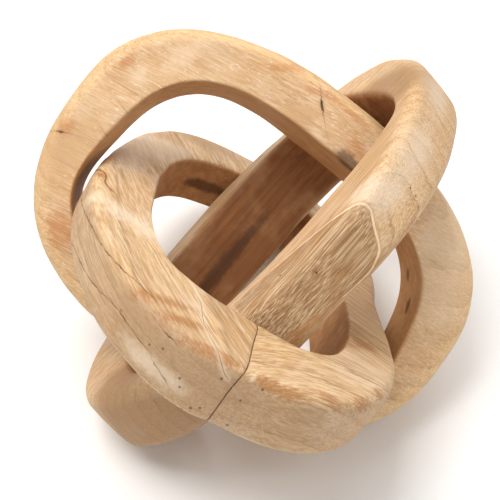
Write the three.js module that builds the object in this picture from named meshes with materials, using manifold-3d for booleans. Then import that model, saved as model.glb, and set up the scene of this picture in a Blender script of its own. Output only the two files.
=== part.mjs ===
// A wooden chain: three closed oval links, each one ring of wood that passes through the other two.
// Millimetres, +Z up. The chain lies on a surface at z = 0, with its front towards -Y.
import * as THREE from 'three';
import { ParametricGeometry } from 'three/addons/geometries/ParametricGeometry.js';
import { mergeVertices } from 'three/addons/utils/BufferGeometryUtils.js';
import Module from 'manifold-3d';

// Each link in its own frame: length along X, width along Y, and the band's width along Z.
// An oval is a superellipse. taper widens it towards +X, skew lengthens it towards +Y, and lobes gives it a
// slow three-cornered unevenness.
const links = [
  {
    name: 'upper_link',
    colour: 0xd6ad7f,
    centre: [-0.3, 10.9, 43.1],
    turn: [-138.4, -5.6, -143.3],
    outside: {
      halfLength: 61.7,
      halfWidth: 43.7,
      squareness: 2.5,
      taper: 0.04,
      skew: 0.05,
      shift: [0, 0],
      lobes: [0, -0.015],
    },
    hole: {
      halfLength: 47.5,
      halfWidth: 29.3,
      squareness: 3.05,
      taper: 0.08,
      skew: -0.09,
      shift: [-0.4, -0.4],
      lobes: [0, 0],
    },
    band: {
      width: 21.2,
      endSwell: -0.07,
      sideSwell: -0.06,
      bellySwell: -0.06,
      upperEdge: 3.8,
      lowerEdge: 4.7,
      holeEdge: 0.9,
      lean: 6,
      endLean: 1,
      sideLean: -1.5,
    },
  },
  {
    name: 'long_link',
    colour: 0xc9a277,
    centre: [6.1, 3.6, 43.9],
    turn: [-23.6, -41.5, 21],
    outside: {
      halfLength: 64.2,
      halfWidth: 42.5,
      squareness: 2,
      taper: 0.04,
      skew: 0.27,
      shift: [0, 0],
      lobes: [-0.01, -0.045],
    },
    hole: {
      halfLength: 48.8,
      halfWidth: 25.9,
      squareness: 3.45,
      taper: 0.07,
      skew: -0.09,
      shift: [-0.5, 4.9],
      lobes: [0, 0],
    },
    band: {
      width: 20.1,
      endSwell: -0.02,
      sideSwell: 0.13,
      bellySwell: 0.03,
      upperEdge: 4.2,
      lowerEdge: 4.2,
      holeEdge: 2.5,
      lean: 0,
      endLean: -3.5,
      sideLean: -5,
    },
  },
  {
    name: 'front_link',
    colour: 0xd2ab7c,
    centre: [-5.4, -1.4, 41.7],
    turn: [-23.7, 31.3, 90.2],
    outside: {
      halfLength: 68.5,
      halfWidth: 43.9,
      squareness: 2.5,
      taper: 0.04,
      skew: 0.12,
      shift: [0, 0],
      lobes: [0.025, -0.06],
    },
    hole: {
      halfLength: 47,
      halfWidth: 28.3,
      squareness: 3.15,
      taper: -0.08,
      skew: -0.12,
      shift: [4.3, 0.9],
      lobes: [0, 0],
    },
    band: {
      width: 16,
      endSwell: -0.11,
      sideSwell: -0.09,
      bellySwell: 0,
      upperEdge: 3.3,
      lowerEdge: 3.2,
      holeEdge: 1,
      lean: -2,
      endLean: 1,
      sideLean: 0.5,
    },
  },
];

const ringSteps = 80;
const edgeSteps = 4;
const sectionPoints = 4 * (edgeSteps + 1);
const groundSize = 400;

// A point of an oval at a polar angle: the superellipse radius with its lobes, then the taper and skew.
function ovalPoint(oval, angle) {
  const c = Math.cos(angle);
  const s = Math.sin(angle);
  const n = oval.squareness;
  const even = (Math.abs(c / oval.halfLength) ** n + Math.abs(s / oval.halfWidth) ** n) ** (-1 / n);
  const lobes = oval.lobes[0] * Math.cos(3 * angle) + oval.lobes[1] * Math.sin(3 * angle);
  const radius = even * (1 + lobes);
  const x = radius * c;
  const y = radius * s;
  return new THREE.Vector2(
    x * (1 + (oval.skew * y) / oval.halfWidth) + oval.shift[0],
    y * (1 + (oval.taper * x) / oval.halfLength) + oval.shift[1],
  );
}

// A point of the band's section: four corner arcs joined by straight sides, counted from the upper outer
// edge round to the hole and back to the lower outer edge.
function sectionPoint(index, halfDepth, halfBand, band) {
  const corner = Math.floor(index / (edgeSteps + 1));
  const quarter = (index % (edgeSteps + 1)) / edgeSteps;
  const radius = [band.upperEdge, band.holeEdge, band.holeEdge, band.lowerEdge][corner];
  const arcAngle = ((corner + quarter) * Math.PI) / 2;
  const atHole = corner === 1 || corner === 2;
  const outward = (atHole ? -1 : 1) * (halfDepth - radius) + radius * Math.cos(arcAngle);
  const upward = (corner < 2 ? 1 : -1) * (halfBand - radius) + radius * Math.sin(arcAngle);
  return new THREE.Vector2(outward, upward);
}

// The link's closed surface: u runs round the link, v round the band's section. The band swells by a few
// parts in a hundred and leans by a few degrees on its way round, as a ring cut by hand does.
function linkGeometry({ outside, hole, band }) {
  const surface = (u, v, target) => {
    const turn = 2 * Math.PI * (u % 1);
    const angle = Math.atan2(Math.sin(turn) * outside.halfWidth, Math.cos(turn) * outside.halfLength);
    const outer = ovalPoint(outside, angle);
    const inner = ovalPoint(hole, angle);
    const middle = outer.clone().add(inner).divideScalar(2);
    const outwards = outer.clone().sub(inner);
    const halfDepth = outwards.length() / 2;
    outwards.normalize();
    const ends = band.endSwell * Math.cos(angle) + band.bellySwell * Math.cos(2 * angle);
    const swell = 1 + ends + band.sideSwell * Math.sin(angle);
    const lean = band.lean + band.endLean * Math.cos(angle) + band.sideLean * Math.sin(angle);
    const index = Math.round(v * sectionPoints) % sectionPoints;
    const point = sectionPoint(index, halfDepth, (band.width / 2) * swell, band);
    point.rotateAround(new THREE.Vector2(), THREE.MathUtils.degToRad(lean));
    target.set(middle.x + point.x * outwards.x, middle.y + point.x * outwards.y, point.y);
  };
  return new ParametricGeometry(surface, ringSteps, sectionPoints);
}

const wasm = await Module();
wasm.setup();

// The solid of a closed geometry, with its shared vertices merged.
function solidOf(geometry) {
  const bare = geometry.clone();
  bare.deleteAttribute('normal');
  bare.deleteAttribute('uv');
  const merged = mergeVertices(bare, 1e-4);
  return new wasm.Manifold(
    new wasm.Mesh({
      numProp: 3,
      vertProperties: merged.attributes.position.array,
      triVerts: new Uint32Array(merged.index.array),
    }),
  );
}

function geometryOf(solid) {
  const mesh = solid.getMesh();
  const geometry = new THREE.BufferGeometry();
  geometry.setAttribute('position', new THREE.BufferAttribute(mesh.vertProperties, 3));
  geometry.setIndex(new THREE.BufferAttribute(mesh.triVerts, 1));
  return geometry;
}

// A block whose top is the surface that the chain lies on.
function groundBlock() {
  return new THREE.BoxGeometry(groundSize, groundSize, groundSize).translate(0, 0, -groundSize / 2);
}

// One link, placed, with a small rest flat sanded where it dips to the surface.
function makeLink(link) {
  const material = new THREE.MeshStandardMaterial({ color: link.colour, roughness: 0.75, metalness: 0 });
  const mesh = new THREE.Mesh(linkGeometry(link), material);
  mesh.name = link.name;
  mesh.position.set(...link.centre);
  mesh.rotation.set(...link.turn.map(THREE.MathUtils.degToRad));
  mesh.updateMatrixWorld();
  const ground = groundBlock().applyMatrix4(mesh.matrixWorld.clone().invert());
  mesh.geometry = geometryOf(solidOf(mesh.geometry).subtract(solidOf(ground)));
  mesh.geometry.computeVertexNormals();
  return mesh;
}

const chain = new THREE.Group();
chain.name = 'wooden_chain';
for (const link of links) {
  chain.add(makeLink(link));
}

export default chain;
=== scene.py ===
# A wooden chain: three carved oval links that pass through each other, lying on a pale floor.
import math
import bpy
import numpy as np
from mathutils import Matrix, Vector


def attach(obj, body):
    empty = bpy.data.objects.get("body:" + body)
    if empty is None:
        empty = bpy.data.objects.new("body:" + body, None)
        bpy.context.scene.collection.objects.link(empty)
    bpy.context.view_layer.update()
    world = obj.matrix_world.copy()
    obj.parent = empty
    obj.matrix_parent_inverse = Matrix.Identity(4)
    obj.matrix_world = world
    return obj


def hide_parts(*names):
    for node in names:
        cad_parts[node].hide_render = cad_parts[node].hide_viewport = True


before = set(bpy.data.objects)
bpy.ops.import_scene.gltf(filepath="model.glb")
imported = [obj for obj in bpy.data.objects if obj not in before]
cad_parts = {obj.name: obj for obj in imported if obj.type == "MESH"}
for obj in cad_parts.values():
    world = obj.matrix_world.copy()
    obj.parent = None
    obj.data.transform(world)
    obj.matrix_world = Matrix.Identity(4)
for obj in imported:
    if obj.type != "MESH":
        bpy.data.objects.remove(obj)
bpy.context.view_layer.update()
mm = 0.001
print("frame loaded")

# Steps of a band's mesh: round the link, and along each stretch of its section.
meshSettings = {
    "ringSteps": 704,
    "faceSteps": 28,
    "edgeSteps": 13,
    "sideSteps": 20,
    "holeEdgeSteps": 5,
}


def ovalPoint(oval, angle):
    # A superellipse's radius at each polar angle, with a slow three-lobed unevenness. Then x grows with y by
    # the skew, and y grows with x by the taper.
    c, s = np.cos(angle), np.sin(angle)
    n = oval["squareness"]
    radius = (np.abs(c / oval["halfLength"]) ** n + np.abs(s / oval["halfWidth"]) ** n) ** (-1 / n)
    radius = radius * (1 + oval["lobes"][0] * np.cos(3 * angle) + oval["lobes"][1] * np.sin(3 * angle))
    x, y = radius * c, radius * s
    return np.stack([
        x * (1 + oval["skew"] * y / oval["halfWidth"]) + oval["shift"][0],
        y * (1 + oval["taper"] * x / oval["halfLength"]) + oval["shift"][1],
    ], -1)


def bandSection(halfDepth, halfBand, band):
    # Outward and upward offsets from the section's middle, with the direction that each point faces in
    # degrees. The walk starts in the middle of the outer face, goes up over the upper edge, across the upper
    # side, down through the hole and back: straight stretches joined by quarter arcs.
    up, low, hole = band["upperEdge"], band["lowerEdge"], band["holeEdge"]
    steps = meshSettings
    pieces = []

    def straight(outFrom, upFrom, outTo, upTo, count, facing):
        t = np.arange(count) / count
        out = outFrom[:, None] * (1 - t) + outTo[:, None] * t
        upward = upFrom[:, None] * (1 - t) + upTo[:, None] * t
        pieces.append((out, upward, np.full(count, float(facing))))

    def quarter(outMiddle, upMiddle, radius, start, count):
        facing = start + 90 * np.arange(count) / count
        a = np.radians(facing)
        out = outMiddle[:, None] + radius * np.cos(a)
        upward = upMiddle[:, None] + radius * np.sin(a)
        pieces.append((out, upward, facing))

    d, b = halfDepth, halfBand
    halfFace = steps["faceSteps"] // 2
    middle = (low - up) / 2 + 0 * b
    straight(d, middle, d, b - up, halfFace, 0)
    quarter(d - up, b - up, up, 0, steps["edgeSteps"])
    straight(d - up, b, hole - d, b, steps["sideSteps"], 90)
    quarter(hole - d, b - hole, hole, 90, steps["holeEdgeSteps"])
    straight(-d, b - hole, -d, hole - b, steps["faceSteps"], 180)
    quarter(hole - d, hole - b, hole, 180, steps["holeEdgeSteps"])
    straight(hole - d, -b, d - low, -b, steps["sideSteps"], 270)
    quarter(d - low, low - b, low, 270, steps["edgeSteps"])
    straight(d, low - b, d, middle, halfFace, 360)
    out = np.concatenate([p[0] for p in pieces], 1)
    upward = np.concatenate([p[1] for p in pieces], 1)
    facing = np.concatenate([p[2] for p in pieces])
    return out, upward, facing


def bandSurface(link):
    # The band runs round between the outer oval and the hole's oval. At each turn its section is centred
    # between the two, swells by a few parts in a hundred, and leans by a few degrees.
    outside, hole, band = link["outside"], link["hole"], link["band"]
    turn = 2 * math.pi * np.arange(meshSettings["ringSteps"]) / meshSettings["ringSteps"]
    angle = np.arctan2(np.sin(turn) * outside["halfWidth"], np.cos(turn) * outside["halfLength"])
    outer, inner = ovalPoint(outside, angle), ovalPoint(hole, angle)
    middle = (outer + inner) / 2
    depth = np.linalg.norm(outer - inner, axis=1)
    outwards = (outer - inner) / depth[:, None]
    swell = 1 + band["endSwell"] * np.cos(angle) + band["sideSwell"] * np.sin(angle)
    swell = swell + band["bellySwell"] * np.cos(2 * angle)
    lean = band["lean"] + band["endLean"] * np.cos(angle) + band["sideLean"] * np.sin(angle)
    lean = np.radians(lean)[:, None]
    out, upward, facing = bandSection(depth / 2, band["width"] / 2 * swell, band)
    out, upward = out * np.cos(lean) - upward * np.sin(lean), out * np.sin(lean) + upward * np.cos(lean)
    place = np.stack([
        middle[:, :1] + out * outwards[:, :1],
        middle[:, 1:] + out * outwards[:, 1:],
        upward,
    ], -1)
    grid = {"place": place, "turn": np.degrees(turn), "facing": np.broadcast_to(facing, out.shape)}
    grid["normal"] = gridNormals(place)
    step = np.linalg.norm(np.roll(place, -1, 1) - place, axis=-1)
    grid["girth"] = np.cumsum(step, 1) - step
    grid["girthWhole"] = step.sum(1)
    return grid


def gridNormals(place):
    # The cross product of the differences across and along the grid, which points out of the band.
    along = np.roll(place, -1, 0) - np.roll(place, 1, 0)
    across = np.roll(place, -1, 1) - np.roll(place, 1, 1)
    normal = np.cross(along, across)
    return normal / np.linalg.norm(normal, axis=-1, keepdims=True)


def onBand(grid, marks):
    # Points of the band at marks of (degrees round the link, mm round the section from the middle of the
    # outer face, upwards positive), read off the grid by linear steps.
    rings, columns = grid["girth"].shape
    found = []
    for degrees, reach in marks:
        at = degrees / 360 * rings
        low = int(math.floor(at))
        share = at - low
        low = low % rings
        girth = np.append(grid["girth"][low], grid["girthWhole"][low])
        column = np.interp(reach % grid["girthWhole"][low], girth, np.arange(columns + 1))
        left = int(column) % columns
        part = column - int(column)
        near = grid["place"][low, left] * (1 - part) + grid["place"][low, (left + 1) % columns] * part
        far = grid["place"][(low + 1) % rings]
        far = far[left] * (1 - part) + far[(left + 1) % columns] * part
        found.append(near * (1 - share) + far * share)
    return np.array(found)


def smoothMarks(marks, steps=6):
    # A curve through the marks: each stretch is a cubic whose slopes are half the chord between neighbours.
    marks = np.asarray(marks, float)
    ends = np.vstack([2 * marks[0] - marks[1], marks, 2 * marks[-1] - marks[-2]])
    t = (np.arange(steps) / steps)[:, None]
    parts = []
    for a, b, c, d in zip(ends[:-3], ends[1:-2], ends[2:-1], ends[3:]):
        parts.append(0.5 * (2 * b + (c - a) * t + (2 * a - 5 * b + 4 * c - d) * t ** 2
                            + (3 * b - a - 3 * c + d) * t ** 3))
    return np.vstack(parts + [marks[-1:]])


def lineAway(grid, lines):
    # Signed distance in mm from every vertex to the nearest of some lines, positive on the left of the line
    # seen from outside: the distance to each short segment, with the side from a cross product.
    place, normal = grid["place"].reshape(-1, 3), grid["normal"].reshape(-1, 3)
    best = np.full(len(place), 99.0)
    for marks in lines:
        points = onBand(grid, smoothMarks(marks))
        for start, end in zip(points[:-1], points[1:]):
            run = end - start
            offset = place - start
            t = np.clip(offset @ run / (run @ run), 0, 1)
            away = np.linalg.norm(offset - t[:, None] * run, axis=1)
            side = np.sign((np.cross(run, offset) * normal).sum(1) + 1e-9)
            closer = away < np.abs(best)
            best[closer] = (away * side)[closer]
    return best.reshape(grid["girth"].shape)


def patchOver(grid, patches):
    # Soft oval patches: exp(-(along/a)^2 - (across/b)^2 - (out/b)^2), turned on the surface, added together.
    total = np.zeros(grid["girth"].shape)
    for degrees, reach, halfAlong, halfAcross, turned in patches:
        nearby = [(degrees, reach), (degrees + 0.5, reach), (degrees, reach + 0.3)]
        centre, ahead, aside = onBand(grid, nearby)
        along = (ahead - centre) / np.linalg.norm(ahead - centre)
        across = (aside - centre) / np.linalg.norm(aside - centre)
        c, s = math.cos(math.radians(turned)), math.sin(math.radians(turned))
        along, across = c * along + s * across, c * across - s * along
        offset = grid["place"] - centre
        out = np.cross(along, across)
        fall = (offset @ along / halfAlong) ** 2 + (offset @ across / halfAcross) ** 2
        fall = fall + (offset @ out / halfAcross) ** 2
        total += np.exp(-fall)
    return np.clip(total, 0, 1)


def spotAway(grid, spots):
    # Distance in mm from every vertex to the nearest of some points on the band.
    points = onBand(grid, spots)
    away = np.full(grid["girth"].shape, 99.0)
    for point in points:
        away = np.minimum(away, np.linalg.norm(grid["place"] - point, axis=-1))
    return away


def latticeNoise(points, size, seed):
    # Smooth noise from -1 to 1: hashed values at the corners of cubes of this size in mm, blended by
    # 3t^2 - 2t^3 along each axis.
    scaled = points / np.asarray(size, float) + 100
    cell = np.floor(scaled).astype(np.int64)
    t = scaled - cell
    t = t * t * (3 - 2 * t)
    total = np.zeros(points.shape[:-1])
    for corner in range(8):
        step = np.array([corner & 1, corner >> 1 & 1, corner >> 2 & 1])
        key = (cell + step).astype(np.uint32)
        value = key[..., 0] * np.uint32(374761393) ^ key[..., 1] * np.uint32(668265263)
        value = value ^ key[..., 2] * np.uint32(2246822519) ^ np.uint32(seed * 97 + 13)
        value = (value ^ value >> np.uint32(13)) * np.uint32(1274126177)
        value = (value ^ value >> np.uint32(16)) & np.uint32(0xFFFF)
        weight = np.prod(np.where(step == 1, t, 1 - t), axis=-1)
        total += weight * (value / 32767.5 - 1)
    return total


def ramp(values, low, high):
    # 0 below low, 1 above high, and 3t^2 - 2t^3 between them.
    t = np.clip((values - low) / (high - low), 0, 1)
    return t * t * (3 - 2 * t)


def faceMasks(grid):
    # Shares of the faces, from the direction that the section faces: 0 outer, 90 upper, 180 hole, 270 lower.
    facing = np.radians(grid["facing"])
    c, s = np.cos(facing), np.sin(facing)
    return {
        "outerFace": ramp(c, 0.5, 0.95),
        "upperSide": ramp(s, 0.5, 0.95),
        "holeFace": ramp(-c, 0.3, 0.95),
        "lowerSide": ramp(-s, 0.5, 0.95),
        "edge": np.abs(np.sin(2 * facing)) * (c > 0),
        "holeEdge": np.abs(np.sin(2 * facing)) * (c < 0),
    }


def linkTurn(degrees):
    # The rotation about x, then y, then z of the turned frame: Rx Ry Rz.
    (cx, sx), (cy, sy), (cz, sz) = [(math.cos(math.radians(a)), math.sin(math.radians(a))) for a in degrees]
    aboutX = np.array([[1, 0, 0], [0, cx, -sx], [0, sx, cx]])
    aboutY = np.array([[cy, 0, sy], [0, 1, 0], [-sy, 0, cy]])
    aboutZ = np.array([[cz, -sz, 0], [sz, cz, 0], [0, 0, 1]])
    return aboutX @ aboutY @ aboutZ


def reachOver(grid):
    # Millimetres round the section from the middle of the outer face, negative towards the lower side.
    whole = grid["girthWhole"][:, None]
    return np.where(grid["girth"] > whole / 2, grid["girth"] - whole, grid["girth"])


def timberPlace(grid, timber):
    # The wood's own frame: x along the fibre, y and z from the pith. The fibre direction may swing slowly on
    # the way round the link, and it jumps where two pieces of wood are glued.
    place = grid["place"]
    degrees = np.broadcast_to(grid["turn"][:, None], grid["girth"].shape)
    if timber["joint"]:
        turns, reaches = np.array(timber["joint"][::-1]).T
        degrees = degrees - np.interp(reachOver(grid), reaches, turns - timber["jointTurn"])
    swing = np.radians(np.interp(degrees, timber["fibreTurns"], timber["fibreDegrees"]))
    c, s = np.cos(swing), np.sin(swing)
    x = place[..., 0] * c + place[..., 1] * s
    y = place[..., 1] * c - place[..., 0] * s
    z = place[..., 2]
    tilt = math.radians(timber["fibreTilt"])
    x, z = x * math.cos(tilt) + z * math.sin(tilt), z * math.cos(tilt) - x * math.sin(tilt)
    return np.stack([x, y - timber["pith"][0], z - timber["pith"][1]], -1)


# Wander of the growth rings: share, size in mm along and across the fibre, and seed.
growthWander = [(1.0, (60, 14, 14), 5), (0.3, (25, 5, 5), 6)]


def growthLevel(wood, timber):
    # Count of growth rings from the pith: the distance from the fibre axis through it, made uneven by slow
    # noise that is long along the fibre, divided by the ring spacing.
    away = np.hypot(wood[..., 1], wood[..., 2])
    for share, size, seed in growthWander:
        away = away + share * timber["wander"] * latticeNoise(wood, size, seed)
    return away / timber["ringSpacing"] - timber["firstRing"]


# Lengths in mm of the slow waves, the small flats and the unevenness of the edges.
handWaves = {"slow": 17, "small": 5.5, "edge": 9, "holeEdgeShare": 0.7}


def handFinish(grid, masks, hand, seed):
    # What the knife and the sandpaper leave, in mm outwards: a crowned outer face, slow waves, small flats,
    # and edges that are taken down by uneven amounts.
    place = grid["place"]
    crown = hand["crown"] * masks["outerFace"] * (1 - (place[..., 2] / hand["crownHalf"]) ** 2)
    slow = hand["slow"] * latticeNoise(place, handWaves["slow"], seed)
    small = hand["small"] * latticeNoise(place, handWaves["small"], seed + 1)
    edges = masks["edge"] + handWaves["holeEdgeShare"] * masks["holeEdge"]
    edge = hand["edge"] * latticeNoise(place, handWaves["edge"], seed + 2) * edges
    return crown + slow + small + edge


# A groove is wider than its painted line, so that the mesh can carry it.
grooveHalfWidth = 1.1


def groove(away, depth, halfWidth):
    # A V with soft lips: -depth (1 - |away| / halfWidth)^2 inside the half width.
    t = np.clip(1 - np.abs(away) / halfWidth, 0, 1)
    return -depth * t * t


def meshFromGrid(name, link, grid, lift, numbers):
    # The grid moved out along its normals, then turned and placed, and held at or above the floor. Quads
    # close round both ways.
    place = grid["place"] + grid["normal"] * lift[..., None]
    place = place @ linkTurn(link["turn"]).T + np.array(link["centre"])
    place[..., 2] = np.maximum(place[..., 2], 0)
    rings, columns = place.shape[:2]
    index = np.arange(rings * columns).reshape(rings, columns)
    ahead = np.roll(index, -1, 0)
    quads = np.stack([index, ahead, np.roll(ahead, -1, 1), np.roll(index, -1, 1)], -1).reshape(-1, 4)
    mesh = bpy.data.meshes.new(name)
    mesh.vertices.add(rings * columns)
    mesh.vertices.foreach_set("co", (place * mm).ravel())
    mesh.loops.add(quads.size)
    mesh.loops.foreach_set("vertex_index", quads.ravel())
    mesh.polygons.add(len(quads))
    mesh.polygons.foreach_set("loop_start", np.arange(0, quads.size, 4))
    mesh.polygons.foreach_set("use_smooth", np.ones(len(quads), bool))
    for label, values in numbers.items():
        if values.ndim == 3:
            mesh.attributes.new(label, "FLOAT_VECTOR", "POINT").data.foreach_set("vector", values.ravel())
        else:
            mesh.attributes.new(label, "FLOAT", "POINT").data.foreach_set("value", values.ravel())
    mesh.update()
    mesh.validate()
    piece = bpy.data.objects.new(name, mesh)
    bpy.context.scene.collection.objects.link(piece)
    return piece


def linear(hexTone):
    # One screen tone, such as 0xd8b080, as the linear colour that a shader socket takes.
    screen = np.array([hexTone >> 16 & 255, hexTone >> 8 & 255, hexTone & 255]) / 255
    light = np.where(screen <= 0.04045, screen / 12.92, ((screen + 0.055) / 1.055) ** 2.4)
    return (*light.tolist(), 1.0)


def addNode(tree, kind, inputs=None, **settings):
    # A node with its settings, and its inputs set to values or joined to other nodes' outputs.
    node = tree.nodes.new(kind)
    for label, value in settings.items():
        setattr(node, label, value)
    for label, value in (inputs or {}).items():
        if isinstance(value, bpy.types.NodeSocket):
            tree.links.new(value, node.inputs[label])
        else:
            node.inputs[label].default_value = value
    return node


def calculate(tree, operation, *values, clamp=False):
    # One step of arithmetic on numbers and outputs.
    inputs = dict(enumerate(values))
    return addNode(tree, "ShaderNodeMath", inputs, operation=operation, use_clamp=clamp).outputs[0]


def remap(tree, value, fromLow, fromHigh, toLow=0.0, toHigh=1.0):
    # A smooth step between two values, held outside them.
    inputs = {"Value": value, "From Min": fromLow, "From Max": fromHigh, "To Min": toLow, "To Max": toHigh}
    return addNode(tree, "ShaderNodeMapRange", inputs, interpolation_type="SMOOTHSTEP").outputs["Result"]


def blend(tree, share, under, over):
    # A colour mixed over another by a share from 0 to 1.
    return addNode(tree, "ShaderNodeMix", {0: share, 6: under, 7: over}, data_type="RGBA").outputs[2]


def stretched(tree, vector, along, across):
    # A place in the wood scaled along the fibre and across it.
    scale = addNode(tree, "ShaderNodeCombineXYZ", {"X": along, "Y": across, "Z": across}).outputs[0]
    inputs = {0: vector, 1: scale}
    return addNode(tree, "ShaderNodeVectorMath", inputs, operation="MULTIPLY").outputs[0]


def noiseAt(tree, vector, scale, detail=3.0, roughness=0.55):
    inputs = {"Vector": vector, "Scale": scale, "Detail": detail, "Roughness": roughness}
    return addNode(tree, "ShaderNodeTexNoise", inputs, noise_dimensions="3D").outputs["Fac"]


def effectGroup(name, inputs, outputs):
    # An empty node group with named inputs, each with its default, and named outputs that are values.
    group = bpy.data.node_groups.new(name, "ShaderNodeTree")
    for label, default in inputs.items():
        kind = "NodeSocketVector" if default is None else "NodeSocketFloat"
        socket = group.interface.new_socket(label, in_out="INPUT", socket_type=kind)
        if default is not None:
            socket.default_value = default
    for label in outputs:
        group.interface.new_socket(label, in_out="OUTPUT", socket_type="NodeSocketFloat")
    return group, group.nodes.new("NodeGroupInput").outputs, group.nodes.new("NodeGroupOutput").inputs


def useGroup(tree, group, inputs):
    return addNode(tree, "ShaderNodeGroup", inputs, node_tree=group).outputs


def makeTimberFigure():
    # Growth rings: the tone of each rises slowly to the late wood and drops at once to the next ring.
    group, given, result = effectGroup(
        "timberFigure", {"Ring Level": 0.0, "Place": None, "Wander": 0.2}, ["Late Wood", "Ring Line"])
    wobble = noiseAt(group, stretched(group, given["Place"], 0.05, 0.5), 1.0, 3.0)
    wobble = calculate(group, "MULTIPLY", calculate(group, "SUBTRACT", wobble, 0.5), given["Wander"])
    phase = calculate(group, "FRACT", calculate(group, "ADD", given["Ring Level"], wobble))
    late = calculate(group, "POWER", phase, 2.2)
    drop = remap(group, phase, 0.965, 1.0, 1.0, 0.0)
    group.links.new(calculate(group, "MULTIPLY", late, drop), result["Late Wood"])
    line = calculate(group, "MULTIPLY", remap(group, phase, 0.9, 0.965), drop)
    group.links.new(line, result["Ring Line"])
    return group


def makeFibreStreaks():
    # Long thin streaks along the fibre, in two widths.
    group, given, result = effectGroup(
        "fibreStreaks", {"Place": None, "Fineness": 1.0, "Length": 12.0}, ["Broad", "Fine"])
    along = calculate(group, "DIVIDE", 1.0, given["Length"])
    broad = noiseAt(group, stretched(group, given["Place"], along, given["Fineness"]), 0.45, 2.0)
    fine = noiseAt(group, stretched(group, given["Place"], along, given["Fineness"]), 2.2, 4.0, 0.62)
    group.links.new(remap(group, broad, 0.3, 0.7), result["Broad"])
    group.links.new(remap(group, fine, 0.3, 0.7), result["Fine"])
    return group


def makeOpenPores():
    # Short dark dashes, where the fibre's vessels are cut open: the middles of long thin cells.
    group, given, result = effectGroup(
        "openPores", {"Place": None, "Spacing": 1.1, "Length": 7.0, "Width": 0.2}, ["Pore"])
    across = calculate(group, "DIVIDE", 1.0, given["Spacing"])
    along = calculate(group, "DIVIDE", 1.0, given["Length"])
    vector = stretched(group, given["Place"], along, across)
    cells = addNode(group, "ShaderNodeTexVoronoi", {"Vector": vector, "Scale": 1.0, "Randomness": 1.0})
    near = remap(group, cells.outputs["Distance"], calculate(group, "MULTIPLY", given["Width"], 0.4),
                 given["Width"], 1.0, 0.0)
    group.links.new(near, result["Pore"])
    return group


def makeSurfaceLine():
    # A line where a signed distance is near zero, uneven in width and strength, gone past its reach.
    group, given, result = effectGroup(
        "surfaceLine",
        {"Away": 99.0, "Place": None, "Half Width": 0.3, "Wobble": 0.3, "Breaks": 0.4}, ["Line", "Near"])
    shift = calculate(group, "SUBTRACT", noiseAt(group, given["Place"], 0.5, 2.0), 0.5)
    away = calculate(group, "ADD", given["Away"], calculate(group, "MULTIPLY", shift, given["Wobble"]))
    size = calculate(group, "ABSOLUTE", away)
    outer = calculate(group, "MULTIPLY", given["Half Width"], 1.3)
    inner = calculate(group, "MULTIPLY", given["Half Width"], 0.3)
    line = remap(group, size, inner, outer, 1.0, 0.0)
    gaps = remap(group, noiseAt(group, given["Place"], 0.35, 2.0), 0.35, 0.6)
    strength = calculate(group, "SUBTRACT", 1.0, calculate(group, "MULTIPLY", given["Breaks"], gaps))
    reach = remap(group, calculate(group, "ABSOLUTE", given["Away"]), 2.5, 4.0, 1.0, 0.0)
    line = calculate(group, "MULTIPLY", calculate(group, "MULTIPLY", line, strength), reach)
    group.links.new(line, result["Line"])
    near = remap(group, size, 0.0, 1.4, 1.0, 0.0)
    group.links.new(calculate(group, "MULTIPLY", near, reach), result["Near"])
    return group


def makeRoughFlecks():
    # Torn fibre ends that rasp and coarse paper leave: pale and dark flecks, longer one way than the other.
    group, given, result = effectGroup(
        "roughFlecks", {"Place": None, "Size": 1.0, "Stretch": 0.4}, ["Pale", "Dark"])
    scale = calculate(group, "DIVIDE", 1.0, given["Size"])
    along = calculate(group, "MULTIPLY", scale, given["Stretch"])
    pale = noiseAt(group, stretched(group, given["Place"], along, scale), 1.0, 4.0, 0.7)
    shifted = addNode(group, "ShaderNodeVectorMath", {0: given["Place"], 1: (31.0, 17.0, 5.0)}).outputs[0]
    dark = noiseAt(group, stretched(group, shifted, along, scale), 0.8, 4.0, 0.7)
    group.links.new(remap(group, pale, 0.54, 0.74), result["Pale"])
    group.links.new(remap(group, dark, 0.57, 0.78), result["Dark"])
    return group


def makeHandTone():
    # Slow changes of tone over the surface, where the wood was handled and weathered.
    group, given, result = effectGroup("handTone", {"Place": None, "Size": 18.0}, ["Warm", "Pale"])
    scale = calculate(group, "DIVIDE", 1.0, given["Size"])
    warm = noiseAt(group, given["Place"], scale, 2.0, 0.5)
    shifted = addNode(group, "ShaderNodeVectorMath", {0: given["Place"], 1: (70.0, 40.0, 90.0)}).outputs[0]
    pale = noiseAt(group, shifted, calculate(group, "MULTIPLY", scale, 1.7), 3.0, 0.55)
    group.links.new(remap(group, warm, 0.4, 0.66), result["Warm"])
    group.links.new(remap(group, pale, 0.48, 0.7), result["Pale"])
    return group


timberFigure = makeTimberFigure()
fibreStreaks = makeFibreStreaks()
openPores = makeOpenPores()
surfaceLine = makeSurfaceLine()
roughFlecks = makeRoughFlecks()
handTone = makeHandTone()
print("node groups made")


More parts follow.
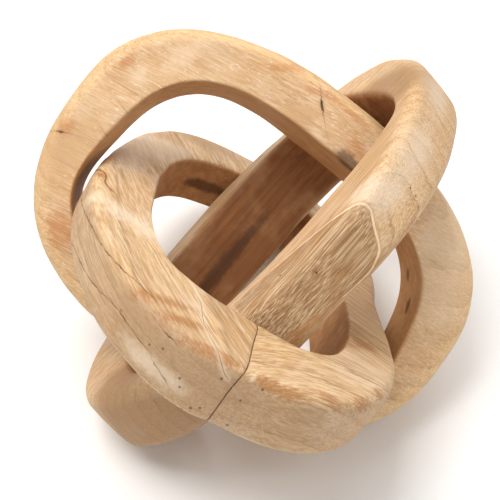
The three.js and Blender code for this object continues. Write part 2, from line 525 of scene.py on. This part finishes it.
def carvedWood(name, looks):
    # Bare sanded hardwood. Colour: ring tone, streaks and hand tone, painted shade, then browner in the hole,
    # as browner wood and painted shade, then pores, stains, pale scrapes with painted light, dirt with
    # painted shade and dark lines.
    # Relief: the same streaks, pores and flecks as fine bumps.
    material = bpy.data.materials.new(name)
    material.use_nodes = True
    tree = material.node_tree
    tree.nodes.clear()

    def attribute(label, output="Fac"):
        return addNode(tree, "ShaderNodeAttribute", attribute_name=label).outputs[output]

    wood = attribute("woodPlace", "Vector")
    band = attribute("bandPlace", "Vector")
    figure = useGroup(tree, timberFigure, {
        "Ring Level": attribute("ringLevel"), "Place": wood, "Wander": looks["ringWander"]})
    streaks = useGroup(tree, fibreStreaks, {
        "Place": wood, "Fineness": looks["fineness"], "Length": looks["streakLength"]})
    pores = useGroup(tree, openPores, {
        "Place": wood, "Spacing": looks["poreSpacing"], "Length": looks["poreLength"],
        "Width": looks["poreWidth"]})["Pore"]
    flecks = useGroup(tree, roughFlecks, {
        "Place": wood, "Size": looks["fleckSize"], "Stretch": looks["fleckStretch"]})
    tone = useGroup(tree, handTone, {"Place": band, "Size": looks["toneSize"]})
    holeFace = attribute("holeFace")
    rough = attribute("roughFace")
    outerEdge = attribute("smoothEdge")
    soft = noiseAt(tree, band, 0.5, 4.0, 0.6)

    def amount(value, share):
        return calculate(tree, "MULTIPLY", value, share)

    def aboutMiddle(value, swing):
        return amount(calculate(tree, "SUBTRACT", value, 0.5), swing)

    def brokenPatch(label):
        # A mask from the mesh whose edge is broken up by noise.
        swing, low, high = looks["patchEdges"][label]
        return remap(tree, calculate(tree, "ADD", attribute(label), aboutMiddle(soft, swing)), low, high)

    warm = amount(tone["Warm"], looks["warmShare"])
    colour = blend(tree, warm, linear(looks["wood"]), linear(looks["warm"]))
    colour = blend(tree, amount(tone["Pale"], looks["paleShare"]), colour, linear(looks["pale"]))
    colour = blend(tree, amount(outerEdge, looks["edgeShare"]), colour, linear(looks["edgeTone"]))
    colour = blend(tree, amount(figure["Late Wood"], looks["lateShare"]), colour, linear(looks["late"]))
    colour = blend(tree, amount(figure["Ring Line"], looks["ringShare"]), colour, linear(looks["line"]))
    colour = blend(tree, amount(streaks["Broad"], looks["broadShare"]), colour, linear(looks["streak"]))
    fine = aboutMiddle(streaks["Fine"], looks["fineShare"])
    colour = blend(tree, calculate(tree, "MAXIMUM", fine, 0.0), colour, linear(looks["line"]))
    fineLight = calculate(tree, "MAXIMUM", calculate(tree, "MULTIPLY", fine, -1.0), 0.0)
    colour = blend(tree, fineLight, colour, linear(looks["light"]))
    roughPale = amount(calculate(tree, "MULTIPLY", flecks["Pale"], rough), looks["fleckShare"])
    roughDark = amount(calculate(tree, "MULTIPLY", flecks["Dark"], rough), looks["fleckShare"])
    colour = blend(tree, roughPale, colour, linear(looks["light"]))
    colour = blend(tree, roughDark, colour, linear(looks["streak"]))
    colour = blend(tree, amount(pores, looks["poreShare"]), colour, linear(looks["line"]))
    # Painted shade: darker patches and faces, where less light falls.
    colour = blend(tree, amount(brokenPatch("shade"), looks["shadeShare"]), colour, linear(looks["shade"]))

    # Inside the arch the late wood shows as brown and pale lines along the fibre.
    figured = attribute("figured")
    colour = blend(tree, amount(figured, looks["figuredTone"]), colour, linear(looks["figured"]))
    brown = calculate(tree, "MULTIPLY", figured, remap(tree, streaks["Fine"], 0.35, 0.95))
    colour = blend(tree, amount(brown, looks["figuredShare"]), colour, linear(looks["figuredLine"]))
    paler = calculate(tree, "MULTIPLY", figured, remap(tree, streaks["Fine"], 0.0, 0.4, 1.0, 0.0))
    colour = blend(tree, amount(paler, looks["figuredPale"]), colour, linear(looks["light"]))

    # Stains run into the fibre, so the streaks and the noise shift their edge and their strength.
    softSwing, fineSwing, low, high = looks["stainEdge"]
    drift = calculate(tree, "ADD", aboutMiddle(streaks["Fine"], fineSwing), aboutMiddle(soft, softSwing))
    stain = calculate(tree, "MULTIPLY", attribute("stain"), calculate(tree, "ADD", 1.0, drift))
    stain = remap(tree, calculate(tree, "ADD", stain, drift), low, high)
    colour = blend(tree, amount(stain, looks["stainShare"]), colour, linear(looks["stain"]))
    # Pale patches: real wear on some edges, and painted light over larger areas that the lamps leave darker.
    colour = blend(tree, amount(brokenPatch("wearAndPaintedLight"), looks["wearAndPaintedLightShare"]), colour, linear(looks["wearAndPaintedLight"]))

    # The hole's wall is a browner wood with streaks of its own, made darker as painted shade inside the link.
    holeWoodAndShade = amount(streaks["Broad"], looks["holeStreakShare"])
    holeWoodAndShade = blend(tree, holeWoodAndShade, linear(looks["hole"]), linear(looks["holeStreak"]))
    holeWoodAndShade = blend(tree, amount(tone["Pale"], looks["holePaleShare"]), holeWoodAndShade, linear(looks["holePale"]))
    colour = blend(tree, amount(holeFace, looks["holeShare"]), colour, holeWoodAndShade)
    # Dark patches, mostly on the holes' walls where the links pass: dirt together with painted shade.
    colour = blend(tree, amount(brokenPatch("dirtAndShade"), looks["dirtAndShadeShare"]), colour, linear(looks["dirtAndShade"]))

    height = amount(streaks["Fine"], looks["fibreRelief"])
    height = calculate(tree, "SUBTRACT", height, amount(pores, looks["poreRelief"]))
    everywhere = calculate(tree, "ADD", rough, looks["fleckFloor"])
    flecked = calculate(tree, "MULTIPLY", flecks["Pale"], everywhere)
    height = calculate(tree, "ADD", height, amount(flecked, looks["fleckRelief"]))
    for line in looks["lines"]:
        drawn = useGroup(tree, surfaceLine, {
            "Away": attribute(line["name"]), "Place": band, "Half Width": line["halfWidth"],
            "Wobble": line["wobble"], "Breaks": line["breaks"]})
        if line["halo"]:
            colour = blend(tree, amount(drawn["Near"], line["halo"]), colour, linear(line["haloTone"]))
        colour = blend(tree, amount(drawn["Line"], line["share"]), colour, linear(line["tone"]))
        height = calculate(tree, "SUBTRACT", height, amount(drawn["Line"], line["depth"]))
    holes = remap(tree, attribute("wormHole"), looks["wormHoleInner"], looks["wormHoleOuter"], 1.0, 0.0)
    colour = blend(tree, amount(holes, looks["wormHoleShare"]), colour, linear(looks["dirtAndShade"]))
    height = calculate(tree, "SUBTRACT", height, amount(holes, looks["wormHoleDepth"]))

    roughness = calculate(tree, "ADD", looks["roughness"], amount(flecks["Dark"], looks["fleckRoughness"]))
    roughness = calculate(tree, "SUBTRACT", roughness, amount(outerEdge, looks["edgePolish"]))
    normal = addNode(tree, "ShaderNodeBump", {"Height": height, "Distance": looks["bumpDepth"] * mm})
    normal.inputs["Strength"].default_value = looks["bumpStrength"]
    skin = addNode(tree, "ShaderNodeBsdfPrincipled", {
        "Base Color": colour, "Roughness": roughness, "Normal": normal.outputs[0]})
    skin.inputs["Specular IOR Level"].default_value = looks["specular"]
    output = tree.nodes.new("ShaderNodeOutputMaterial")
    tree.links.new(skin.outputs[0], output.inputs["Surface"])
    return material


def insideLoop(grid, loop):
    # 1 inside a closed loop of marks, crossing its edge within half a millimetre: counts the crossings of
    # each vertex's ray along the section, and takes the distance to the loop for the soft edge.
    turn = np.broadcast_to(grid["turn"][:, None], grid["girth"].shape)
    reach = reachOver(grid)
    points = smoothMarks(loop + loop[:1])
    inside = np.zeros(reach.shape, bool)
    for (turnA, reachA), (turnB, reachB) in zip(points[:-1], points[1:]):
        crosses = (turnA > turn) != (turnB > turn)
        level = reachA + (turn - turnA) * (reachB - reachA) / (turnB - turnA + 1e-12)
        inside ^= crosses & (reach < level)
    away = np.abs(lineAway(grid, [loop + loop[:1]]))
    return ramp(np.where(inside, away, -away), -0.3, 0.5)


def carveLong(grid, link):
    # Inside the arch the face dips a little and the grain stands up in ridges: sin of the place across the
    # fibre, with slow noise that bends the ridges.
    mask = insideLoop(grid, link["arch"])
    across = grid["place"][..., 2] + 0.5 * latticeNoise(grid["place"], (60, 9, 9), 71)
    ridges = np.sin(2 * math.pi * across / link["grainSpacing"])
    strength = 0.7 + 0.3 * latticeNoise(grid["place"], (45, 5, 2), 72)
    return mask * (link["grainRidge"] * ridges * strength - link["archDip"])


def carveFront(grid, link):
    # Chatter of the blade: ripples along the band in soft patches. The knot's low side is a small step.
    length = np.linalg.norm(np.roll(grid["place"], -1, 0) - grid["place"], axis=-1)
    along = np.cumsum(length, 0)
    ripples = np.sin(2 * math.pi * along / link["chatterSpacing"])
    step = lineAway(grid, link["marks"]["lines"]["knotEdge"])
    dip = link["knotStep"] * ramp(-step, -0.2, 0.4) * ramp(step, -2.6, -0.6)
    return link["chatterDepth"] * ripples * patchOver(grid, link["chatter"]) - dip


def featureNumbers(grid, masks, link):
    # The numbers that the wood material reads at every vertex.
    wood = timberPlace(grid, link["timber"])
    marks = link["marks"]
    numbers = {
        "woodPlace": wood,
        "bandPlace": grid["place"],
        "ringLevel": growthLevel(wood, link["timber"]),
        "holeFace": masks["holeFace"],
        "roughFace": np.clip(sum(masks[face] * share for face, share in link["roughFaces"].items()), 0, 1),
        "smoothEdge": masks["edge"],
        "stain": patchOver(grid, marks["stains"]),
        "wearAndPaintedLight": patchOver(grid, marks["wearAndPaintedLight"]),
        "dirtAndShade": patchOver(grid, marks["dirtAndShade"]),
        "shade": patchOver(grid, marks["shade"]),
        "figured": 0 * grid["girth"],
        "wormHole": spotAway(grid, marks["wormHoles"]),
    }
    # Whole faces darkened as painted shade, each by its share.
    for face, share in link["shadedFaces"].items():
        numbers["shade"] = numbers["shade"] + share * masks[face]
    for loop in marks["loops"]:
        numbers["figured"] = numbers["figured"] + insideLoop(grid, loop)
    for label, lines in marks["lines"].items():
        numbers[label] = lineAway(grid, lines)
    return numbers


def makeLink(link, carve=None):
    grid = bandSurface(link)
    masks = faceMasks(grid)
    numbers = featureNumbers(grid, masks, link)
    lift = handFinish(grid, masks, link["hand"], link["seed"])
    for line in link["looks"]["lines"]:
        lift = lift + groove(numbers[line["name"]], line["cut"], grooveHalfWidth)
    if carve:
        lift = lift + carve(grid, link)
    piece = meshFromGrid(link["name"], link, grid, lift, numbers)
    piece.data.materials.append(carvedWood(link["name"] + "_wood", link["looks"]))
    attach(piece, "root")
    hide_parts(link["node"])
    print("made", link["name"])


# The wood's tones, the shares in which they are laid on, the sizes of its figure in mm, and its relief. Each
# link changes a few of them.
woodLooks = {
    "wood": 0xD6B186, "warm": 0xCE9C63, "pale": 0xE3C9A7, "edgeTone": 0xE4BD88,
    "late": 0xB48A5D, "line": 0x86643F, "streak": 0xAC8052, "light": 0xF0DDC1,
    "stain": 0xAE7A46, "wearAndPaintedLight": 0xEBDDC9, "shade": 0xA88665, "figured": 0xA98158, "figuredLine": 0x7A5433,
    "hole": 0xA06C3C, "holeStreak": 0x7E5028, "holePale": 0xBC8E5E, "dirtAndShade": 0x4E3220,
    "warmShare": 0.55, "paleShare": 0.5, "edgeShare": 0.5, "lateShare": 0.4, "ringShare": 0.3,
    "broadShare": 0.25, "fineShare": 0.45, "fleckShare": 0.3, "poreShare": 0.35,
    "stainShare": 0.62, "wearAndPaintedLightShare": 0.4, "shadeShare": 0.7, "dirtAndShadeShare": 0.75,
    "figuredTone": 0.6, "figuredShare": 0.6, "figuredPale": 0.4,
    "holeShare": 0.8, "holeStreakShare": 0.7, "holePaleShare": 0.5,
    "ringWander": 0.35, "fineness": 1.3, "streakLength": 14.0, "toneSize": 20.0,
    "poreSpacing": 1.2, "poreLength": 5.0, "poreWidth": 0.15, "fleckSize": 0.5, "fleckStretch": 0.35,
    "wormHoleInner": 0.18, "wormHoleOuter": 0.5, "wormHoleShare": 0.9, "wormHoleDepth": 0.5,
    "fibreRelief": 0.35, "poreRelief": 0.4, "fleckRelief": 0.35, "fleckFloor": 0.15,
    "roughness": 0.6, "fleckRoughness": 0.1, "edgePolish": 0.08, "specular": 0.3,
    "bumpDepth": 0.1, "bumpStrength": 0.6,
    # How far noise swings a patch's edge, and where the patch starts and is full. A stain has one more swing,
    # for the streaks.
    "patchEdges": {"shade": (0.3, 0.05, 1.0), "wearAndPaintedLight": (0.8, 0.2, 1.1), "dirtAndShade": (0.6, 0.2, 0.8)},
    "stainEdge": (0.6, 0.35, 0.1, 1.0),
    "lines": [],
}

# The links' shapes, in mm and degrees, each in its own frame: the same as the solids.
upperShape = {
    "centre": [-0.3, 10.9, 43.1],
    "turn": [-138.4, -5.6, -143.3],
    "outside": {
        "halfLength": 61.7, "halfWidth": 43.7, "squareness": 2.5,
        "taper": 0.04, "skew": 0.05, "shift": [0, 0], "lobes": [0, -0.015],
    },
    "hole": {
        "halfLength": 47.5, "halfWidth": 29.3, "squareness": 3.05,
        "taper": 0.08, "skew": -0.09, "shift": [-0.4, -0.4], "lobes": [0, 0],
    },
    "band": {
        "width": 21.2, "endSwell": -0.07, "sideSwell": -0.06, "bellySwell": -0.06,
        "upperEdge": 3.8, "lowerEdge": 4.7, "holeEdge": 0.9,
        "lean": 6, "endLean": 1, "sideLean": -1.5,
    },
}
longShape = {
    "centre": [6.1, 3.6, 43.9],
    "turn": [-23.6, -41.5, 21],
    "outside": {
        "halfLength": 64.2, "halfWidth": 42.5, "squareness": 2,
        "taper": 0.04, "skew": 0.27, "shift": [0, 0], "lobes": [-0.01, -0.045],
    },
    "hole": {
        "halfLength": 48.8, "halfWidth": 25.9, "squareness": 3.45,
        "taper": 0.07, "skew": -0.09, "shift": [-0.5, 4.9], "lobes": [0, 0],
    },
    "band": {
        "width": 20.1, "endSwell": -0.02, "sideSwell": 0.13, "bellySwell": 0.03,
        "upperEdge": 4.2, "lowerEdge": 4.2, "holeEdge": 2.5,
        "lean": 0, "endLean": -3.5, "sideLean": -5,
    },
}
frontShape = {
    "centre": [-5.4, -1.4, 41.7],
    "turn": [-23.7, 31.3, 90.2],
    "outside": {
        "halfLength": 68.5, "halfWidth": 43.9, "squareness": 2.5,
        "taper": 0.04, "skew": 0.12, "shift": [0, 0], "lobes": [0.025, -0.06],
    },
    "hole": {
        "halfLength": 47, "halfWidth": 28.3, "squareness": 3.15,
        "taper": -0.08, "skew": -0.12, "shift": [4.3, 0.9], "lobes": [0, 0],
    },
    "band": {
        "width": 16, "endSwell": -0.11, "sideSwell": -0.09, "bellySwell": 0,
        "upperEdge": 3.3, "lowerEdge": 3.2, "holeEdge": 1,
        "lean": -2, "endLean": 1, "sideLean": 0.5,
    },
}

upperLink = {
    **upperShape,
    "name": "upper_ring",
    "node": "upper_link",
    "seed": 11,
    "timber": {
        "fibreTurns": [0, 360], "fibreDegrees": [-8, -8], "fibreTilt": 5,
        "pith": [34, -52], "ringSpacing": 4.6, "wander": 1.6, "firstRing": 0,
        "joint": [],
    },
    "hand": {"crown": 0.35, "crownHalf": 9.5, "slow": 0.28, "small": 0.1, "edge": 0.32},
    "roughFaces": {"lowerSide": 1.0, "upperSide": 0.6, "outerFace": 0.25},
    "shadedFaces": {},
    "marks": {
        "loops": [],
        "shade": [(345, -14, 12, 8, 0), (78, -22, 5, 4, 0)],
        "stains": [
            (23.3, -12.8, 3.2, 1.8, 0), (72, -11.6, 6, 1.4, 8), (82, -13.2, 7, 1.5, 0),
            (93, -12.8, 5, 1.2, 0), (352, -11.5, 3, 2, 0), (318, -15, 7, 4, 0), (101, -20, 5, 3, 0),
        ],
        "wearAndPaintedLight": [(23.3, -17.4, 3.4, 2.2, 0), (147.5, -21, 2.6, 1.6, 30), (146, -18.2, 2.2, 1.2, 0),
                 (142, -23, 1.6, 1, 0), (40, -17, 9, 3.5, 0), (150, -18, 20, 8, 0), (135, -18, 12, 7, 0)],
        "dirtAndShade": [(150.6, 33.3, 2.2, 1.6, 0), (164.4, -32.9, 2.6, 1.8, 0), (102, -25, 5, 3, 0)],
        "wormHoles": [(349.5, -11.0)],
        "lines": {
            "growthLine": [
                [(11, -19), (10.5, -21), (10.2, -22.8)], [(359, -19.5), (358.2, -21), (357.4, -22.8)],
                [(141.9, -23.7), (144, -21), (146, -18.4)],
            ],
            "knotMark": [[(83.0, -15.1), (83.5, -16.0), (84.2, -16.9)], [(349.5, -10.6), (349.8, -11.4)]],
        },
    },
    "looks": {
        **woodLooks,
        "wood": 0xDCB68A, "warm": 0xD2A067, "pale": 0xE6C9A8, "edgeTone": 0xE8BF89,
        "stain": 0xBC7C48, "shade": 0xC39A6C, "wearAndPaintedLight": 0xEED6B6,
        "fleckShare": 0.85, "fleckSize": 0.62, "fleckStretch": 0.3, "fleckRelief": 0.9,
        "ringShare": 0.08, "edgeShare": 0.75, "fineShare": 0.5, "fibreRelief": 0.3,
        "hole": 0xC48C50, "holeStreak": 0xA26C34, "holePale": 0xD2A068, "holeShare": 0.6,
        "lines": [
            {"name": "growthLine", "halfWidth": 0.18, "wobble": 0.6, "breaks": 0.7, "halo": 0.12,
             "haloTone": 0xB98552, "share": 0.5, "tone": 0x8A5B35, "depth": 0.2, "cut": 0.04},
            {"name": "knotMark", "halfWidth": 0.42, "wobble": 0.3, "breaks": 0.2, "halo": 0.5,
             "haloTone": 0xB98552, "share": 0.95, "tone": 0x3F2818, "depth": 0.6, "cut": 0.2},
        ],
    },
}
# The edge of the arch in the long link's grain, as marks of (degrees round, mm round the section).
archLoop = [
    (246, 19), (262, 18), (273.8, 15.7), (281.5, 13.2), (288.2, 9.9), (292.2, 8.4), (294.3, 6.6),
    (294.5, 4.2), (292, 1), (289.7, -2.4), (287.2, -4.8), (281, -6.6), (271, -6.6), (260, -4.9), (246, -4.5),
]
longLink = {
    **longShape,
    "name": "long_ring",
    "node": "long_link",
    "seed": 23,
    "timber": {
        "fibreTurns": [0, 360], "fibreDegrees": [0, 0], "fibreTilt": 2,
        "pith": [-66, 1], "ringSpacing": 3.3, "wander": 1.2, "firstRing": 0.3,
        "joint": [],
    },
    "hand": {"crown": 0.45, "crownHalf": 9.5, "slow": 0.26, "small": 0.08, "edge": 0.28},
    "roughFaces": {"outerFace": 0.45, "upperSide": 0.2},
    "shadedFaces": {"lowerSide": 0.3},
    "arch": archLoop,
    "archDip": 0.14,
    "grainRidge": 0.05,
    "grainSpacing": 1.15,
    "marks": {
        "stains": [
            (285, -7.2, 9, 1.2, 0), (268, -6.4, 12, 1.3, 0), (252, -4.8, 8, 1.4, 0), (282, 11.6, 8, 1.3, 12),
            (274, 14.5, 8, 1.2, 10), (262, 16, 10, 1.4, 0), (299, -7.5, 6, 1.5, 0),
        ],
        "wearAndPaintedLight": [(300, 3, 7, 5, 0), (318, 3, 11, 7, 0), (345, 2, 12, 6, 0), (297, 9, 5, 3, 0)],
        "dirtAndShade": [(112, 38, 26, 2.5, 0)],
        "loops": [archLoop],
        "shade": [(197, -2, 16, 11, 0), (210, -6, 14, 10, 0), (190, -8, 12, 9, 0), (347.5, 14, 9, 8, 0),
                  (357, 22, 9, 8, 0), (193, 14, 9, 8, 0)],
        "wormHoles": [(307.6, -0.9), (307.1, -3.3), (305.5, -5.6), (270, 3), (262, 10)],
        "lines": {
            "archRim": [archLoop[1:13]],
            "archLine": [
                [(297.4, 9.9), (308.1, 11.2), (316.3, 9.4), (317.8, 6.4), (316.8, 4.2), (314.7, -1.3),
                 (313.2, -5.3)],
                [(326, 15.6), (335.7, 10.3), (338, 5.8), (336, 0.5), (331, -5)],
                [(352, 14), (357, 8), (357, 2), (352, -4)],
            ],
        },
    },
    "looks": {
        **woodLooks,
        "wood": 0xD8B388, "warm": 0xCD9C66, "pale": 0xE2C8A8, "edgeTone": 0xDDB581,
        "shade": 0x966F48, "figured": 0x9C7549, "streakLength": 45.0, "fineness": 1.6,
        "fineShare": 0.75, "ringShare": 0.4, "lateShare": 0.45,
        "hole": 0x9A6336, "holeStreak": 0x6E4220, "holePale": 0xB88C60, "holeShare": 0.92,
        "lines": [
            # The arch's rim is raised, and its pale line is painted highlight along that edge, with a brown
            # halo beside it.
            {"name": "archRim", "halfWidth": 0.34, "wobble": 0.5, "breaks": 0.25, "halo": 0.42,
             "haloTone": 0xA87444, "share": 0.75, "tone": 0xF2DCBA, "depth": -0.3, "cut": 0.0},
            {"name": "archLine", "halfWidth": 0.2, "wobble": 0.7, "breaks": 0.55, "halo": 0.14,
             "haloTone": 0xC08E5C, "share": 0.45, "tone": 0x9A6B42, "depth": 0.2, "cut": 0.03},
        ],
    },
}
# Where the front link was cut and glued, all the way round its section.
glueMarks = [
    (181, 35), (181.4, 29), (179.7, 23.2), (178.4, 18), (177.7, 14.3), (176.4, 9), (175.1, 5),
    (174.6, -1.4), (174.6, -7.3), (174, -12), (175, -20), (177.5, -28), (181, -35),
]
frontLink = {
    **frontShape,
    "name": "front_ring",
    "node": "front_link",
    "seed": 37,
    "timber": {
        "fibreTurns": [0, 100, 174.9, 175.1, 230, 300, 360], "fibreDegrees": [16, 18, 28, 116, 100, 50, 16],
        "fibreTilt": 3, "pith": [26, 60], "ringSpacing": 5.0, "wander": 1.4, "firstRing": 0,
        "jointTurn": 175,
        "joint": glueMarks,
    },
    "hand": {"crown": 0.3, "crownHalf": 8.5, "slow": 0.3, "small": 0.1, "edge": 0.32},
    "roughFaces": {"outerFace": 0.55, "upperSide": 0.3, "lowerSide": 0.3},
    # Its outer face is greyer wood, darkened further as painted shade.
    "shadedFaces": {"outerFace": 0.6},
    "chatter": [(193, 2.7, 3.2, 5, 0), (200, -4, 2.6, 4, 0), (77.5, 14.6, 3, 4, 0)],
    "chatterDepth": 0.07,
    "chatterSpacing": 1.3,
    "knotStep": 0.35,
    "marks": {
        "stains": [
            (143.4, 14.1, 8, 2.8, 20), (151, 12.1, 8, 2.4, 20), (160, 8.6, 7, 1.6, 0),
            (168.5, 9.2, 4, 1.6, 0), (185, 8.4, 4.5, 1.7, 0), (194, 8.3, 4.5, 1.5, 0),
            (206.3, 9.4, 4.5, 1.9, 0), (218.6, 8.6, 4.5, 1.9, 0),
            (89, 7.6, 2.4, 1.6, 0), (228, 9, 3, 2, 0), (240, 20, 5, 3, 0),
        ],
        "wearAndPaintedLight": [(76, 11, 8, 6, 0), (60, 12.8, 11, 8, 0), (48, 14, 8, 6, 0), (112, 20, 16, 5, 0),
                 (179.5, 8, 1.4, 0.7, 60), (150, -3, 18, 3, 0)],
        "dirtAndShade": [(20, 33, 14, 2, 0), (176, -9, 4, 1.5, 0)],
        "loops": [],
        "shade": [(21, 11, 16, 7, 0), (154, 4, 20, 7, 0)],
        "wormHoles": [
            (133.2, 1.3), (146, 0.9), (150.1, 2.5), (159.3, -1), (160.8, -2.9), (170.5, 4.6), (179.7, 1.8),
            (170, -4.9), (165.4, -8), (167.5, -6.1), (180.8, -5.8), (183.8, 6.7),
        ],
        "lines": {
            "grainLine": [
                [(90, 0), (96.9, 1.9), (107.1, 4.7), (114.8, 5.7), (125, 7.5), (133, 9.4), (140.4, 10.9)],
                [(103, -5.4), (106.6, -4), (118.9, -2.2), (130.7, 0.5), (138.3, 0.2), (146.5, -0.6)],
                [(145.5, 6.3), (153.2, 5.6)], [(150.6, -2.1), (155.7, -3.7)],
            ],
            "glueJoint": [glueMarks],
            "crackLine": [[(154.6, 27.5), (156.7, 24.8), (158.6, 19), (161.8, 14.3), (166, 9.5), (169, 6.9),
                           (172, 5.4)]],
            "knotEdge": [[(85.4, 5.6), (86.7, 6.9), (89, 8.7), (92.8, 9.4), (95.9, 11.9)]],
        },
    },
    "looks": {
        **woodLooks,
        "wood": 0xDAB68A, "warm": 0xD0A36B, "pale": 0xE0C8AE, "edgeTone": 0xDFBB88,
        "wearAndPaintedLight": 0xF0DEC4, "wearAndPaintedLightShare": 0.52, "stain": 0xA46C38, "stainShare": 0.72,
        "ringShare": 0.4, "lateShare": 0.5, "fleckShare": 0.6, "poreShare": 0.5, "fibreRelief": 0.5,
        "fineness": 0.9, "streakLength": 24.0, "fineShare": 0.8, "broadShare": 0.38,
        "hole": 0xC08C5A, "holeStreak": 0x9C6A42, "holePale": 0xCCA074,
        "lines": [
            {"name": "grainLine", "halfWidth": 0.2, "wobble": 0.9, "breaks": 0.6, "halo": 0.16,
             "haloTone": 0xB58A5E, "share": 0.85, "tone": 0x4A3020, "depth": 0.5, "cut": 0.12},
            {"name": "glueJoint", "halfWidth": 0.17, "wobble": 0.25, "breaks": 0.15, "halo": 0.2,
             "haloTone": 0xA9784A, "share": 0.95, "tone": 0x2E1D12, "depth": 0.7, "cut": 0.18},
            {"name": "crackLine", "halfWidth": 0.13, "wobble": 0.5, "breaks": 0.35, "halo": 0.3,
             "haloTone": 0xF3E3CB, "share": 0.8, "tone": 0x6B4A30, "depth": 0.4, "cut": 0.06},
            {"name": "knotEdge", "halfWidth": 0.28, "wobble": 0.3, "breaks": 0.2, "halo": 0.4,
             "haloTone": 0xB27C4A, "share": 0.85, "tone": 0x6A4426, "depth": 0.4, "cut": 0.15},
        ],
    },
}
makeLink(upperLink)
makeLink(longLink, carveLong)
makeLink(frontLink, carveFront)

# The floor is a wide pale plane, lit like a white studio table.
floorSettings = {"halfSize": 3.0, "tone": 0xFAF9F7, "roughness": 0.9}


def makeFloor(settings):
    half = settings["halfSize"]
    mesh = bpy.data.meshes.new("studio_floor")
    corners = [(-half, -half, 0), (half, -half, 0), (half, half, 0), (-half, half, 0)]
    mesh.from_pydata(corners, [], [(0, 1, 2, 3)])
    floor = bpy.data.objects.new("studio_floor", mesh)
    bpy.context.scene.collection.objects.link(floor)
    material = bpy.data.materials.new("studio_paper")
    material.use_nodes = True
    skin = material.node_tree.nodes["Principled BSDF"]
    skin.inputs["Base Color"].default_value = linear(settings["tone"])
    skin.inputs["Roughness"].default_value = settings["roughness"]
    mesh.materials.append(material)


makeFloor(floorSettings)

# The photograph's view: the camera looks down from the front. Lens for a 36 mm sensor.
viewSettings = {
    "place": (-1.75, -246.44, 337.53),
    "forward": (0.0, 0.6498, -0.7601),
    "up": (0.0257, 0.7598, 0.6496),
    "focalPixels": 1413.8,
    "framePixels": 500,
}


def makeCamera(settings):
    forward, up = Vector(settings["forward"]).normalized(), Vector(settings["up"])
    right = forward.cross(up).normalized()
    up = right.cross(forward)
    data = bpy.data.cameras.new("studio_camera")
    data.sensor_width = 36
    data.lens = 36 * settings["focalPixels"] / settings["framePixels"]
    data.clip_start = 0.01
    camera = bpy.data.objects.new("studio_camera", data)
    camera.matrix_world = Matrix((
        (right.x, up.x, -forward.x, settings["place"][0] * mm),
        (right.y, up.y, -forward.y, settings["place"][1] * mm),
        (right.z, up.z, -forward.z, settings["place"][2] * mm),
        (0, 0, 0, 1)))
    bpy.context.scene.collection.objects.link(camera)
    bpy.context.scene.camera = camera


makeCamera(viewSettings)

# Soft boxes: each a square light at a place in metres, aimed at the middle of the chain.
lightSettings = {
    "key": {"place": (-0.3, 0.05, 0.95), "size": 0.6, "watts": 8.0},
    "fill": {"place": (0.6, -0.5, 0.8), "size": 0.8, "watts": 2.2},
    "top": {"place": (0.2, 0.6, 0.9), "size": 0.9, "watts": 4.5},
    "aim": (0, 0, 0.045),
    "world": 0.4,
}


def makeLights(settings):
    for name in ("key", "fill", "top"):
        box = settings[name]
        data = bpy.data.lights.new(name + "_light", "AREA")
        data.size = box["size"]
        data.energy = box["watts"]
        light = bpy.data.objects.new(name + "_light", data)
        light.location = box["place"]
        aim = Vector(settings["aim"]) - Vector(box["place"])
        light.rotation_euler = aim.to_track_quat("-Z", "Y").to_euler()
        bpy.context.scene.collection.objects.link(light)
    world = bpy.data.worlds.new("studio")
    world.use_nodes = True
    back = world.node_tree.nodes["Background"]
    back.inputs["Color"].default_value = (1, 1, 1, 1)
    back.inputs["Strength"].default_value = settings["world"]
    bpy.context.scene.world = world
    bpy.context.scene.view_settings.view_transform = "Standard"


makeLights(lightSettings)
print("floor, camera and lights made")
